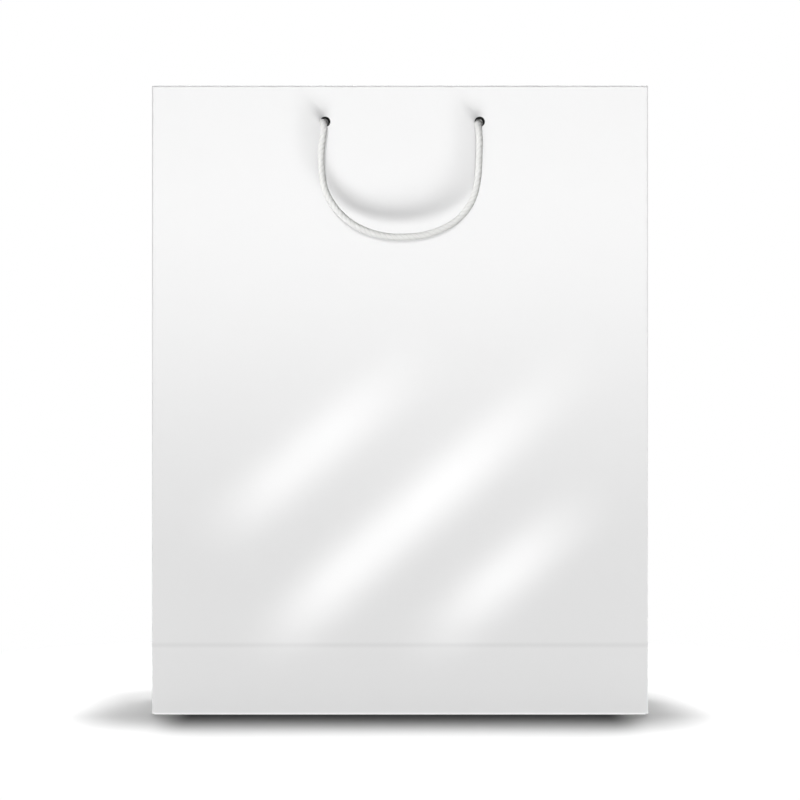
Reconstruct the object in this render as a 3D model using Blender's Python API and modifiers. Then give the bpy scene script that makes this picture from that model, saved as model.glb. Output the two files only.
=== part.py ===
"""Paper carrier bag: one folded sheet with a turned-in hem and a block bottom, two board strips in the hem,
a loose bottom board, and two cord handles knotted behind four punched holes.

Metres, +Z up. The origin is under the middle of the bag, on what it stands on. The front faces -Y.
"""

import math

import bmesh
import bpy
from mathutils import Vector

# The standing bag
WIDTH = 0.260
HEIGHT = 0.330
DEPTH = 0.074
PAPER = 0.0003
GUSSET_FOLD = 0.008

# The turned-in hem, with a board strip between its two layers
HEM_DEPTH = 0.040
STRIP_BOARD = 0.0006
STRIP_MARGIN = 0.003
STRIP_SHIFT = 0.0004

# The bottom. Its flaps stand in a little from the walls, as a folded edge does, and the front one, which the
# back one covers, is also cut a little short at both ends.
FLAP_OVERLAP = 0.024
FLAP_MARGIN = 0.0010
FRONT_FLAP_INSET = PAPER
BACK_FLAP_INSET = PAPER / 2
BOTTOM_BOARD = 0.0010
BOTTOM_MARGIN = 0.0015
CREASE_DEPTH = 0.00025
CREASE_HALF_WIDTH = 0.0009
CREASE_FADE = 0.004

# The glued seam, inside the back panel
SEAM_WIDTH = 0.016
SEAM_END = 0.0010

# Holes and cords
CORD = 0.0035
HOLE_PLAY = 0.0019
HOLE_SPACING = 0.081
HOLE_DROP = 0.0192
HOLE_SHIFT = 0.0013
TAIL_LENGTH = 0.014

# Clearance between pieces that touch, and how deep glued layers run into each other
GAP = 0.0003
BITE = 0.0001

# Worked out from the sizes above
CREASE_HEIGHT = DEPTH / 2
UNDERSIDE = 2 * PAPER
BASE_TOP = UNDERSIDE + PAPER
FACE_STACK = 2 * PAPER + STRIP_BOARD + 2 * GAP
SIDE_STACK = 2 * PAPER + GAP
FOLD_RISE = FACE_STACK / 2
WALL_TOP = HEIGHT - FOLD_RISE
HEM_EDGE = HEIGHT - HEM_DEPTH
FLAP_DEPTH = (DEPTH + FLAP_OVERLAP) / 2
HOLE_HEIGHT = HEIGHT - HOLE_DROP
HOLE = CORD + HOLE_PLAY
STRIP_HOLE = CORD + 2 * GAP
KNOT_WIDE = 3.0 * CORD
KNOT_THICK = 1.8 * CORD
KNOT_GRAIN = 0.22 * CORD
CORD_STEP = 2 * CORD

# How finely the folds and holes are faceted, and the distance under which two places are the same
FOLD_STEPS = 4
GUSSET_STEPS = 4
HOLE_SIDES = 32
SAME = 1e-6

# The front cord's centreline between its two holes, chosen by hand. Each row holds the place across the
# bag as a share of half the hole spacing, then millimetres in front of the panel, then millimetres below
# the cord's place in the holes. It leaves the left hole squarely, bends down, hangs as an open U and goes
# back in at the right.
CORD_ROUTE = (
    (-1.010, 1.6, 0.0),
    (-1.012, 5.6, 1.1),
    (-1.018, 8.4, 4.0),
    (-1.032, 9.5, 8.4),
    (-1.037, 9.6, 15.5),
    (-1.034, 9.6, 25.8),
    (-1.012, 9.6, 33.4),
    (-0.955, 9.6, 39.6),
    (-0.828, 9.6, 47.2),
    (-0.650, 9.6, 53.6),
    (-0.444, 9.6, 57.8),
    (-0.212, 9.6, 60.2),
    (0.032, 9.6, 60.6),
    (0.275, 9.6, 59.6),
    (0.507, 9.6, 56.5),
    (0.700, 9.6, 51.8),
    (0.847, 9.6, 45.1),
    (0.932, 9.6, 37.6),
    (0.975, 9.6, 30.0),
    (0.988, 9.6, 20.5),
    (0.993, 9.6, 14.2),
    (0.993, 9.5, 8.4),
    (0.992, 8.4, 4.0),
    (0.991, 5.6, 1.1),
    (0.990, 1.6, 0.0),
)


def clear_scene():
    for old in list(bpy.data.objects):
        bpy.data.objects.remove(old, do_unlink=True)


def new_collection(name):
    collection = bpy.data.collections.new(name)
    bpy.context.scene.collection.children.link(collection)
    return collection


def new_material(name, colour, roughness):
    material = bpy.data.materials.new(name)
    material.use_nodes = True
    shader = material.node_tree.nodes["Principled BSDF"]
    shader.inputs["Base Color"].default_value = (*colour, 1.0)
    shader.inputs["Roughness"].default_value = roughness
    shader.inputs["Metallic"].default_value = 0.0
    return material


def new_object(name, mesh, collection, material=None):
    made = bpy.data.objects.new(name, mesh)
    collection.objects.link(made)
    if material and not mesh.materials:
        mesh.materials.append(material)
    return made


def mesh_from(bm, name):
    mesh = bpy.data.meshes.new(name)
    bm.to_mesh(mesh)
    bm.free()
    return mesh


def as_cutter(obj):
    obj.hide_render = True
    obj.display_type = "WIRE"
    return obj


def boolean(obj, other, operation):
    modifier = obj.modifiers.new(f"{operation.lower()} {other.name}", "BOOLEAN")
    modifier.operation = operation
    modifier.solver = "EXACT"
    modifier.object = other


def box_mesh(name, low, high):
    bm = bmesh.new()
    low, high = Vector(low), Vector(high)
    bmesh.ops.create_cube(bm, size=1.0)
    bmesh.ops.scale(bm, vec=high - low, verts=bm.verts)
    bmesh.ops.translate(bm, vec=(low + high) / 2, verts=bm.verts)
    return mesh_from(bm, name)


def gusset_fold_at(height):
    """How far the gusset's middle fold stands in from the side at a height: nothing at the crease."""
    share = (height - CREASE_HEIGHT) / (HEIGHT - CREASE_HEIGHT)
    return GUSSET_FOLD * max(0.0, share)


def cut(bm, faces, point, normal):
    """Folds a new edge into these faces where a plane crosses them."""
    geometry = set(faces)
    for face in faces:
        geometry.update(face.edges)
        geometry.update(face.verts)
    bmesh.ops.bisect_plane(bm, geom=list(geometry), dist=SAME, plane_co=point, plane_no=normal)


def panels(bm):
    return [face for face in bm.faces if abs(face.normal.y) > 0.9]


def gussets(bm):
    return [face for face in bm.faces if abs(face.normal.x) > 0.9]


def nearest(bm, place):
    return min(bm.verts, key=lambda vert: (vert.co - Vector(place)).length)


def fold_gussets(bm):
    """The side panels: a middle fold that leans inwards, and two diagonals down to the bottom corners."""
    cut(bm, gussets(bm), (0, 0, 0), (0, 1, 0))
    cut(bm, list(bm.faces), (0, 0, CREASE_HEIGHT), (0, 0, 1))
    for side in (-1, 1):
        for end in (-1, 1):
            corner = nearest(bm, (side * WIDTH / 2, end * DEPTH / 2, UNDERSIDE))
            middle = nearest(bm, (side * WIDTH / 2, 0, CREASE_HEIGHT))
            bmesh.ops.connect_vert_pair(bm, verts=[corner, middle])
    for step in range(1, GUSSET_STEPS + 1):
        level = CREASE_HEIGHT + (HEM_EDGE - CREASE_HEIGHT) * step / GUSSET_STEPS
        cut(bm, gussets(bm), (0, 0, level), (0, 0, 1))
    for vert in bm.verts:
        if abs(vert.co.y) < SAME:
            vert.co.x -= math.copysign(gusset_fold_at(vert.co.z), vert.co.x)


def press_crease(bm):
    """The shallow fold line across the front and back, which fades out at the corners."""
    for rise in (-CREASE_HALF_WIDTH, CREASE_HALF_WIDTH):
        cut(bm, panels(bm), (0, 0, CREASE_HEIGHT + rise), (0, 0, 1))
    for side in (-1, 1):
        band = [
            face
            for face in panels(bm)
            if abs(face.calc_center_median().z - CREASE_HEIGHT) < CREASE_HALF_WIDTH
        ]
        cut(bm, band, (side * (WIDTH / 2 - CREASE_FADE), 0, 0), (1, 0, 0))
    for vert in bm.verts:
        on_line = abs(vert.co.z - CREASE_HEIGHT) < SAME
        on_panel = abs(abs(vert.co.y) - DEPTH / 2) < SAME
        if on_line and on_panel and abs(vert.co.x) < WIDTH / 2 - CREASE_FADE / 2:
            vert.co.y -= math.copysign(CREASE_DEPTH, vert.co.y)


def turn_in_hem(bm):
    """Carries the top edge over in a half round and down inside the bag."""
    turns = [math.pi * step / FOLD_STEPS for step in range(1, FOLD_STEPS + 1)]
    rings = [(WALL_TOP + FOLD_RISE * math.sin(turn), (1 - math.cos(turn)) / 2) for turn in turns]
    rings.append((HEM_EDGE, 1.0))
    edges = [edge for edge in bm.edges if edge.is_boundary]
    ring = {
        vert: (math.copysign(1, vert.co.x), round(vert.co.y / (DEPTH / 2)))
        for edge in edges
        for vert in edge.verts
    }
    for height, share in rings:
        made = bmesh.ops.extrude_edge_only(bm, edges=edges)["geom"]
        edges = [item for item in made if isinstance(item, bmesh.types.BMEdge) and item.is_boundary]
        raised = {}
        for vert in {vert for edge in edges for vert in edge.verts}:
            below = next(edge.other_vert(vert) for edge in vert.link_edges if edge.other_vert(vert) in ring)
            side, end = raised[vert] = ring[below]
            lean = 0 if end else gusset_fold_at(height)
            across = WIDTH / 2 - lean - share * SIDE_STACK
            vert.co = (side * across, end * (DEPTH / 2 - share * FACE_STACK), height)
        ring = raised


def crease_twisted_faces(bm):
    """Splits each twisted face the same way in both layers, so that they stay an even distance apart."""
    for face in list(bm.faces):
        if len(face.verts) != 4 or abs(face.normal.x) < 0.5:
            continue
        low_corner = max(face.verts, key=lambda vert: abs(vert.co.y) - vert.co.z)
        high_middle = max(face.verts, key=lambda vert: vert.co.z - abs(vert.co.y))
        if not any(low_corner in edge.verts and high_middle in edge.verts for edge in face.edges):
            bmesh.ops.connect_vert_pair(bm, verts=[low_corner, high_middle])
    bmesh.ops.triangulate(bm, faces=list(bm.faces))


def sheet_mesh():
    """The outer face of the folded sheet, from the bottom up the walls and over into the hem."""
    bm = bmesh.new()
    bmesh.ops.create_cube(bm, size=1.0)
    bmesh.ops.scale(bm, vec=(WIDTH, DEPTH, WALL_TOP - UNDERSIDE), verts=bm.verts)
    bmesh.ops.translate(bm, vec=(0, 0, (WALL_TOP + UNDERSIDE) / 2), verts=bm.verts)
    bmesh.ops.delete(bm, geom=[face for face in bm.faces if face.normal.z > 0.9], context="FACES_ONLY")
    fold_gussets(bm)
    press_crease(bm)
    turn_in_hem(bm)
    bm.normal_update()
    crease_twisted_faces(bm)
    return mesh_from(bm, "bag_body")


def flap_mesh(name, end, inset, margin, low, high):
    """One long bottom flap, folded in from the front or back, with its corners mitred at 45 degrees."""
    depth = FLAP_DEPTH - inset
    bm = bmesh.new()
    bmesh.ops.create_cube(bm, size=1.0)
    bmesh.ops.scale(bm, vec=(WIDTH - 2 * inset - 2 * margin, depth, high - low), verts=bm.verts)
    middle = end * (DEPTH / 2 - inset - depth / 2)
    bmesh.ops.translate(bm, vec=(0, middle, (low + high) / 2), verts=bm.verts)
    for vert in bm.verts:
        if end * (vert.co.y - middle) < 0:
            vert.co.x -= math.copysign(depth, vert.co.x)
    return mesh_from(bm, name)


def punch(name, diameter, across, height, collection):
    """A round cutter through the front and the back at once."""
    bm = bmesh.new()
    bmesh.ops.create_cone(
        bm,
        cap_ends=True,
        segments=HOLE_SIDES,
        radius1=diameter / 2,
        radius2=diameter / 2,
        depth=DEPTH + 2 * diameter,
    )
    cutter = new_object(name, mesh_from(bm, name), collection)
    cutter.rotation_euler = (math.pi / 2, 0, 0)
    cutter.location = (across, 0, height)
    return as_cutter(cutter)


def hole_places():
    return (("left", HOLE_SHIFT - HOLE_SPACING / 2), ("right", HOLE_SHIFT + HOLE_SPACING / 2))


def make_bag_body(parts, cutters, paper):
    body = new_object("bag_body", sheet_mesh(), parts, paper)
    wall = body.modifiers.new("paper thickness", "SOLIDIFY")
    wall.thickness = PAPER
    wall.offset = -1.0
    wall.use_even_offset = True
    glued = (
        flap_mesh("back_flap", 1, BACK_FLAP_INSET, 0.0, 0.0, UNDERSIDE + 2 * BITE),
        flap_mesh("front_flap", -1, FRONT_FLAP_INSET, FLAP_MARGIN, PAPER, UNDERSIDE + BITE),
        box_mesh(
            "side_seam",
            (-WIDTH / 2 + PAPER - BITE, DEPTH / 2 - 2 * PAPER, BASE_TOP - BITE),
            (-WIDTH / 2 + SEAM_WIDTH, DEPTH / 2 - PAPER + BITE, HEM_EDGE - SEAM_END),
        ),
    )
    for mesh in glued:
        boolean(body, as_cutter(new_object(mesh.name, mesh, cutters)), "UNION")
    for side, across in hole_places():
        boolean(body, punch(f"{side}_punch", HOLE, across, HOLE_HEIGHT, cutters), "DIFFERENCE")


def make_strips(parts, cutters, board):
    """The board strips, which sit a little low and to the left in the hem with holes close round the cord."""
    punches = [
        punch(f"{side}_strip_punch", STRIP_HOLE, across - STRIP_SHIFT, HOLE_HEIGHT - STRIP_SHIFT, cutters)
        for side, across in hole_places()
    ]
    half = WIDTH / 2 - SIDE_STACK - STRIP_MARGIN
    for name, end in (("front_top_card", -1), ("back_top_card", 1)):
        outer = end * (DEPTH / 2 - PAPER - GAP)
        inner = end * (DEPTH / 2 - PAPER - GAP - STRIP_BOARD)
        low = (-half - STRIP_SHIFT, min(outer, inner), HEM_EDGE + STRIP_MARGIN - STRIP_SHIFT)
        high = (half - STRIP_SHIFT, max(outer, inner), HEIGHT - FACE_STACK - STRIP_SHIFT)
        strip = new_object(name, box_mesh(name, low, high), parts, board)
        for cutter in punches:
            boolean(strip, cutter, "DIFFERENCE")


def make_base_card(parts, board):
    half_width = WIDTH / 2 - PAPER - BOTTOM_MARGIN
    half_depth = DEPTH / 2 - PAPER - BOTTOM_MARGIN
    low = (-half_width, -half_depth, BASE_TOP + GAP)
    high = (half_width, half_depth, BASE_TOP + GAP + BOTTOM_BOARD)
    new_object("base_card", box_mesh("base_card", low, high), parts, board)


def smooth_line(points, steps=24):
    """A Catmull-Rom curve through the points, as many short straight runs."""
    ends = [2 * points[0] - points[1], *points, 2 * points[-1] - points[-2]]
    line = []
    for before, start, finish, after in zip(ends, ends[1:], ends[2:], ends[3:]):
        for step in range(steps):
            t = step / steps
            line.append(
                0.5
                * (
                    2 * start
                    + (finish - before) * t
                    + (2 * before - 5 * start + 4 * finish - after) * t * t
                    + (3 * start - before - 3 * finish + after) * t * t * t
                )
            )
    return [*line, points[-1]]


def evenly_spaced(line, step):
    """Points along the line that lie about one step apart, its two ends among them."""
    along = [0.0]
    for start, finish in zip(line, line[1:]):
        along.append(along[-1] + (finish - start).length)
    count = max(2, round(along[-1] / step))
    spaced, at = [], 0
    for wanted in (along[-1] * i / count for i in range(count + 1)):
        while at < len(line) - 2 and along[at + 1] < wanted:
            at += 1
        share = (wanted - along[at]) / (along[at + 1] - along[at])
        spaced.append(line[at].lerp(line[at + 1], share))
    return spaced


def cord_points(end):
    """The cord's centreline, in front of the bag or behind it, from the back of one hole to the other's."""
    half, height = HOLE_SPACING / 2, HOLE_HEIGHT - STRIP_SHIFT
    route = [
        Vector((HOLE_SHIFT + across * half, end * (DEPTH / 2 + out / 1000), height - below / 1000))
        for across, out, below in CORD_ROUTE
    ]
    inner = end * (DEPTH / 2 - FACE_STACK)
    places = [across - STRIP_SHIFT for _, across in hole_places()]
    route = [Vector((places[0], inner, height)), *route, Vector((places[1], inner, height))]
    return evenly_spaced(smooth_line(route), CORD_STEP)


def tube_curve(name, points, diameter, cyclic=False):
    curve = bpy.data.curves.new(name, "CURVE")
    curve.dimensions = "3D"
    curve.bevel_depth = diameter / 2
    curve.bevel_resolution = 2
    curve.use_fill_caps = True
    spline = curve.splines.new("POLY")
    spline.points.add(len(points) - 1)
    for place, point in zip(spline.points, points):
        place.co = (*point, 1.0)
    spline.use_cyclic_u = cyclic
    return curve


def make_cords(parts, fibre):
    for name, end in (("front_cord", -1), ("back_cord", 1)):
        curve = tube_curve(name, cord_points(end), CORD)
        curve.materials.append(fibre)
        new_object(name, curve, parts)


def closed_mesh_of(curve):
    """A curve's tube as a mesh with its caps welded on."""
    guide = bpy.data.objects.new(curve.name, curve)
    bpy.context.scene.collection.objects.link(guide)
    graph = bpy.context.evaluated_depsgraph_get()
    mesh = bpy.data.meshes.new_from_object(guide.evaluated_get(graph))
    bpy.data.objects.remove(guide, do_unlink=True)
    bm = bmesh.new()
    bm.from_mesh(mesh)
    bmesh.ops.remove_doubles(bm, verts=bm.verts, dist=SAME)
    return bm


def knot_mesh():
    """An overhand knot pulled tight: three crossing lobes round a full middle, with its cut end hanging down.

    It faces -Y, its front is at y = 0, and the cord goes in there.
    """
    lobe = (KNOT_WIDE - CORD) / 6
    rise = (KNOT_THICK - CORD) / 2
    middle = Vector((0, KNOT_THICK / 2, 0))
    turns = []
    for step in range(42):
        t = math.tau * step / 42
        across = lobe * (math.sin(t) + 2 * math.sin(2 * t))
        up = lobe * (math.cos(t) - 2 * math.cos(2 * t))
        turns.append(middle + Vector((across, -rise * math.sin(3 * t), up)))
    tail = [
        middle,
        middle + Vector((0.1 * CORD, 0.3 * CORD, -1.2 * CORD)),
        middle + Vector((0.2 * CORD, 0.4 * CORD, -0.5 * (1.2 * CORD + TAIL_LENGTH))),
        middle + Vector((0.1 * CORD, 0.3 * CORD, -TAIL_LENGTH)),
    ]
    neck = [Vector((0, 0, 0)), middle]
    bm = closed_mesh_of(tube_curve("knot turns", turns, CORD, cyclic=True))
    for name, points in (("knot tail", tail), ("knot neck", neck)):
        more = closed_mesh_of(tube_curve(name, points, CORD))
        mesh = mesh_from(more, name)
        bm.from_mesh(mesh)
        bpy.data.meshes.remove(mesh)
    made = bmesh.ops.create_uvsphere(bm, u_segments=16, v_segments=10, radius=KNOT_WIDE / 3)
    bmesh.ops.scale(bm, vec=(1, KNOT_THICK / KNOT_WIDE, 1), verts=made["verts"])
    bmesh.ops.translate(bm, vec=middle, verts=made["verts"])
    return mesh_from(bm, "knot")


def make_knots(parts, fibre):
    mesh = knot_mesh()
    for face, end in (("front", -1), ("back", 1)):
        for side, across in hole_places():
            knot = new_object(f"{face}_{side}_knot", mesh, parts, fibre)
            seat = end * (DEPTH / 2 - FACE_STACK - GAP)
            knot.location = (across - STRIP_SHIFT, seat, HOLE_HEIGHT - STRIP_SHIFT)
            knot.rotation_euler = (0, 0, 0 if end < 0 else math.pi)
            skin = knot.modifiers.new("one skin", "REMESH")
            skin.mode = "VOXEL"
            skin.voxel_size = KNOT_GRAIN
            skin.use_smooth_shade = True


def main():
    clear_scene()
    parts = new_collection("paper_carrier_bag")
    cutters = new_collection("folds_and_punches")
    paper = new_material("laminated white paper", (0.89, 0.89, 0.89), 0.22)
    strip_board = new_material("black strip board", (0.012, 0.012, 0.013), 0.7)
    bottom_board = new_material("white bottom board", (0.80, 0.80, 0.79), 0.75)
    fibre = new_material("twisted white cord", (0.80, 0.80, 0.79), 0.6)
    make_bag_body(parts, cutters, paper)
    make_strips(parts, cutters, strip_board)
    make_base_card(parts, bottom_board)
    make_cords(parts, fibre)
    make_knots(parts, fibre)


main()
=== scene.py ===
import math

import bmesh
import bpy
from bpy.props import FloatProperty, FloatVectorProperty, IntProperty, PointerProperty
from bpy.types import Operator, Panel, PropertyGroup
from mathutils import Matrix, Vector, noise


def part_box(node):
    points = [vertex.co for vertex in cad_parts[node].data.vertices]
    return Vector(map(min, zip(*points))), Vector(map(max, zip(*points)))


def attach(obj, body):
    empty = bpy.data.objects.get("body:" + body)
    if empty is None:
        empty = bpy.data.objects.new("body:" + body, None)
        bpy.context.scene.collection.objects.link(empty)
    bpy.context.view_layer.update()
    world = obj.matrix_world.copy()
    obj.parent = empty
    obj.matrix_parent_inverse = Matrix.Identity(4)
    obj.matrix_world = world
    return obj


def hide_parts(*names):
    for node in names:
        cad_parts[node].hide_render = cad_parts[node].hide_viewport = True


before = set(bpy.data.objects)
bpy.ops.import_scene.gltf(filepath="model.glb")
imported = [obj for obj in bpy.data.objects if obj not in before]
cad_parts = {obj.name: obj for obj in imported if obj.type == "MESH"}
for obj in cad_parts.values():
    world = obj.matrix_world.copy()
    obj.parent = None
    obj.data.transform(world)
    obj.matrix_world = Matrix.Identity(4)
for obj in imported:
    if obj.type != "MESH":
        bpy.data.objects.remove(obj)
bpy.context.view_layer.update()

bl_info = {
    "name": "Paper carrier bag",
    "version": (1, 0, 0),
    "blender": (4, 5, 0),
    "location": "View3D > Sidebar > Paper bag",
    "description": "Dresses a paper carrier bag: folded laminated paper, boards, twisted cords and knots",
    "category": "Object",
}

BAG_LOW, BAG_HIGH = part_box("bag_body")
STRIP_LOW, STRIP_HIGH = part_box("front_top_card")
BOARD_LOW, BOARD_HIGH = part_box("base_card")

# How far each cord's left and right end lie to the left and down from the middle of their holes in the strip
LEFT_END = (0.0008, 0.0001)
RIGHT_END = (0.0006, 0.0006)

# Each cord's centreline between its ends, close to that of the CAD's cords: a share of half the hole spacing
# across, then millimetres out from the panel and below the cord's place in the holes.
CORD_ROUTE = (
    (-1.034, 1.6, 0.0),
    (-1.018, 5.6, 1.5),
    (-1.006, 8.4, 4.6),
    (-1.023, 9.5, 9.2),
    (-1.043, 9.6, 16.0),
    (-1.039, 9.6, 25.9),
    (-1.013, 9.6, 33.4),
    (-0.955, 9.6, 39.6),
    (-0.828, 9.6, 47.2),
    (-0.650, 9.6, 53.6),
    (-0.444, 9.6, 57.8),
    (-0.212, 9.6, 60.2),
    (0.032, 9.6, 60.6),
    (0.275, 9.6, 59.6),
    (0.507, 9.6, 56.5),
    (0.700, 9.6, 51.8),
    (0.847, 9.6, 45.1),
    (0.932, 9.6, 37.6),
    (0.969, 9.6, 30.0),
    (0.983, 9.6, 20.6),
    (0.988, 9.6, 14.6),
    (0.987, 9.5, 9.2),
    (0.981, 8.4, 4.9),
    (0.975, 5.6, 2.1),
    (0.972, 1.6, 1.0),
)


def linear(hex_colour):
    """An sRGB hex colour as linear red, green and blue."""
    parts = [int(hex_colour[place : place + 2], 16) / 255 for place in (0, 2, 4)]
    return tuple(part / 12.92 if part <= 0.04045 else ((part + 0.055) / 1.055) ** 2.4 for part in parts)


def length_property(name, description, default):
    """A length in metres that a user can change."""
    return FloatProperty(
        name=name, description=description, default=default, min=0.0, unit="LENGTH", precision=5
    )


def level_property(name, description, default):
    """A brightness or a factor that a user can change."""
    return FloatProperty(name=name, description=description, default=default, min=0.0)


def colour_property(name, description, hex_colour):
    """A colour that a user can change, from an sRGB hex value."""
    return FloatVectorProperty(
        name=name,
        description=description,
        default=linear(hex_colour),
        size=3,
        min=0.0,
        max=1.0,
        subtype="COLOR",
    )


class BagSizes(PropertyGroup):
    width: length_property("Width", "Front panel, side to side", BAG_HIGH.x - BAG_LOW.x)
    depth: length_property("Depth", "Side gusset, front to back", BAG_HIGH.y - BAG_LOW.y)
    height: length_property("Height", "Floor to the folded top edge", BAG_HIGH.z)
    paper: length_property("Paper", "Thickness of the laminated paper", 0.0003)
    gusset_fold: length_property("Gusset fold", "How far the gusset's middle leans in at the top", 0.008)
    hem: length_property("Hem", "How far the top edge is turned in", 0.040)
    face_stack: length_property("Face stack", "Thickness of the hem over its board strip", 0.0018)
    side_stack: length_property("Side stack", "Thickness of the hem at the gussets", 0.0009)
    underside: length_property("Underside", "Thickness of the two bottom flaps", 0.0006)
    flap: length_property("Flap", "Front to back length of each bottom flap", 0.049)
    seam: length_property("Seam", "Width of the glued side-seam tab", 0.016)
    fold_round: length_property("Fold round", "Outside radius of the folded edges", 0.0005)
    crease: length_property("Crease", "Depth of the pressed fold lines in the gussets", 0.00025)
    fold_lean: length_property("Fold lean", "How far the panels' pressed fold stands out", 0.00001)
    hole: length_property("Hole", "Diameter of the punched holes", 0.0054)
    hole_spacing: length_property("Hole spacing", "Between the middles of two holes", 0.081)
    hole_shift: length_property("Hole shift", "Bag's middle to the middle between the holes", 0.0013)
    hole_height: length_property("Hole height", "Floor to the middle of the holes", 0.3108)
    support: length_property("Support", "Flat rim beside each folded edge", 0.0003)


class CordSizes(PropertyGroup):
    diameter: length_property("Cord", "Outside diameter of the twisted cord", 0.0035)
    strand: length_property("Strand", "Radius of one strand", 0.00147)
    offset: length_property("Strand offset", "Strand centre to cord centre", 0.00031)
    lay: length_property("Lay", "Length of one full twist", 0.0085)
    step: length_property("Step", "Distance between the tube's rings", 0.00035)
    middle: length_property("Middle", "Right of the bag's middle to the cord's own middle", 0.0013)
    level: length_property("Level", "Height of the cord's ends in the hem", 0.3104)
    strip_shift: length_property("Strip shift", "Left of the cord's place to the strip's hole", 0.0004)
    tail: length_property("Tail", "Cut end left below each knot", 0.0138)
    strands: IntProperty(name="Strands", description="Strands twisted together", default=3, min=2, max=4)


class Colours(PropertyGroup):
    paper: colour_property("Paper", "Laminated outside of the paper", "F0F0F0")
    paper_back: colour_property("Paper back", "Uncoated inside of the paper", "EAE9E6")
    # The strip board's near-black colour is painted shade for the holes beside the cords
    strip: colour_property("Strip board", "Dark board inside the hem", "161617")
    board: colour_property("Bottom board", "Loose board in the bottom", "E6E4DF")
    cord: colour_property("Cord", "Twisted cord", "F3F3F1")
    floor: colour_property("Floor", "Studio floor", "F2F2F2")


class Studio(PropertyGroup):
    distance: length_property("Camera distance", "Camera to the front panel", 1.25)
    eye: length_property("Eye height", "Camera height over the floor", 0.165)
    view_width: length_property("View width", "Width of the view at the front panel", 0.4192)
    key: level_property("Key", "Radiance of the low front lamp", 13.7)
    key_distance: length_property("Key distance", "Low front lamp to the panel", 8.0)
    key_size: level_property("Key size", "Width of that lamp per metre of distance", 0.85)
    left: level_property("Left", "Radiance of the lamp on the left", 1.2)
    cord: level_property("Cord", "Radiance of the front cord's own lamp", 15.0)
    graded: level_property("Graded softbox", "Strength of the upper reflection", 5.4)
    ring: level_property("Ring", "Strength of the soft cards all round", 4.0)
    top: level_property("Top", "Radiance of the overhead lamp", 45.0)
    back: level_property("Back", "Radiance of the lamp behind", 3.4)
    fill: level_property("Fill", "World light that reaches matte surfaces", 0.10)


# A Map Range that eases in and out
SMOOTH = {"interpolation_type": "SMOOTHSTEP"}


def add_node(tree, kind, settings=None):
    """Adds one node. A lower-case setting is the node's own. Any other one is an input, which takes a value
    or a link from a socket or from another node's first output."""
    node = tree.nodes.new(kind)
    for key, value in (settings or {}).items():
        if isinstance(key, str) and key.islower():
            setattr(node, key, value)
        elif isinstance(value, bpy.types.Node):
            tree.links.new(value.outputs[0], node.inputs[key])
        elif isinstance(value, bpy.types.NodeSocket):
            tree.links.new(value, node.inputs[key])
        else:
            node.inputs[key].default_value = value
    return node


def bare_tree(owner):
    """The emptied node tree of a material or a world."""
    owner.use_nodes = True
    owner.node_tree.nodes.clear()
    return owner.node_tree


def new_material(name, colour, settings):
    """A material with its node tree and its shader, set to this colour and these inputs."""
    material = bpy.data.materials.new(name)
    material.use_nodes = True
    shader = material.node_tree.nodes["Principled BSDF"]
    shader.inputs["Base Color"].default_value = (*colour, 1.0)
    for key, value in settings.items():
        shader.inputs[key].default_value = value
    return material, material.node_tree, shader


def vary(tree, shader, tone, relief, strength, distance):
    """Multiplies the shader's colour by a tone, and presses a relief into its surface."""
    colour = shader.inputs["Base Color"]
    plain = colour.default_value[:3]
    mixed = add_node(tree, "ShaderNodeVectorMath", {"operation": "SCALE", 0: plain, "Scale": tone})
    tree.links.new(mixed.outputs[0], colour)
    bump = add_node(tree, "ShaderNodeBump", {"Strength": strength, "Distance": distance, "Height": relief})
    tree.links.new(bump.outputs[0], shader.inputs["Normal"])


def finished_piece(name, mesh, nodes=(), materials=()):
    """A finished piece at the origin, riding on the bag and standing for these CAD nodes."""
    mesh.name = name
    piece = bpy.data.objects.new(name, mesh)
    bpy.context.scene.collection.objects.link(piece)
    for material in materials:
        mesh.materials.append(material)
    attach(piece, "root")
    if nodes:
        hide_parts(*nodes)
    return piece


def box_in(bm, low, high, material_index=0):
    """Adds a closed box between two corners."""
    low, high = Vector(low), Vector(high)
    made = bmesh.ops.create_cube(bm, size=1.0)["verts"]
    bmesh.ops.scale(bm, vec=high - low, verts=made)
    bmesh.ops.translate(bm, vec=(low + high) / 2, verts=made)
    for face in {face for vert in made for face in vert.link_faces}:
        face.material_index = material_index
    return made


# Cords and knots


def smooth_line(points, steps=24):
    """A Catmull-Rom curve through the points, as many short straight runs."""
    ends = [2 * points[0] - points[1], *points, 2 * points[-1] - points[-2]]
    line = []
    for before, start, finish, after in zip(ends, ends[1:], ends[2:], ends[3:]):
        for step in range(steps):
            t = step / steps
            line.append(
                0.5
                * (
                    2 * start
                    + (finish - before) * t
                    + (2 * before - 5 * start + 4 * finish - after) * t * t
                    + (3 * start - before - 3 * finish + after) * t * t * t
                )
            )
    return [*line, points[-1]]


def fade(distance, reach):
    """0 at the edge and 1 from reach onwards, smoothly."""
    t = max(0.0, min(1.0, distance / reach))
    return t * t * (3 - 2 * t)


def cord_line(end, sizes, bag):
    """The cord's centreline in front of the bag (end -1) or behind it (end 1), from strip to strip."""
    half = bag.hole_spacing / 2
    route = []
    for across, out, below in CORD_ROUTE:
        x = sizes.middle + across * half
        route.append(Vector((x, end * (bag.depth / 2 + out / 1000), sizes.level - below / 1000)))
    inner = end * (bag.depth / 2 - bag.face_stack)
    left, right = (
        Vector((sizes.middle + side * half - sizes.strip_shift - aside, inner, sizes.level - down))
        for side, (aside, down) in ((-1, LEFT_END), (1, RIGHT_END))
    )
    return smooth_line([left, *route, right])


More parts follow.
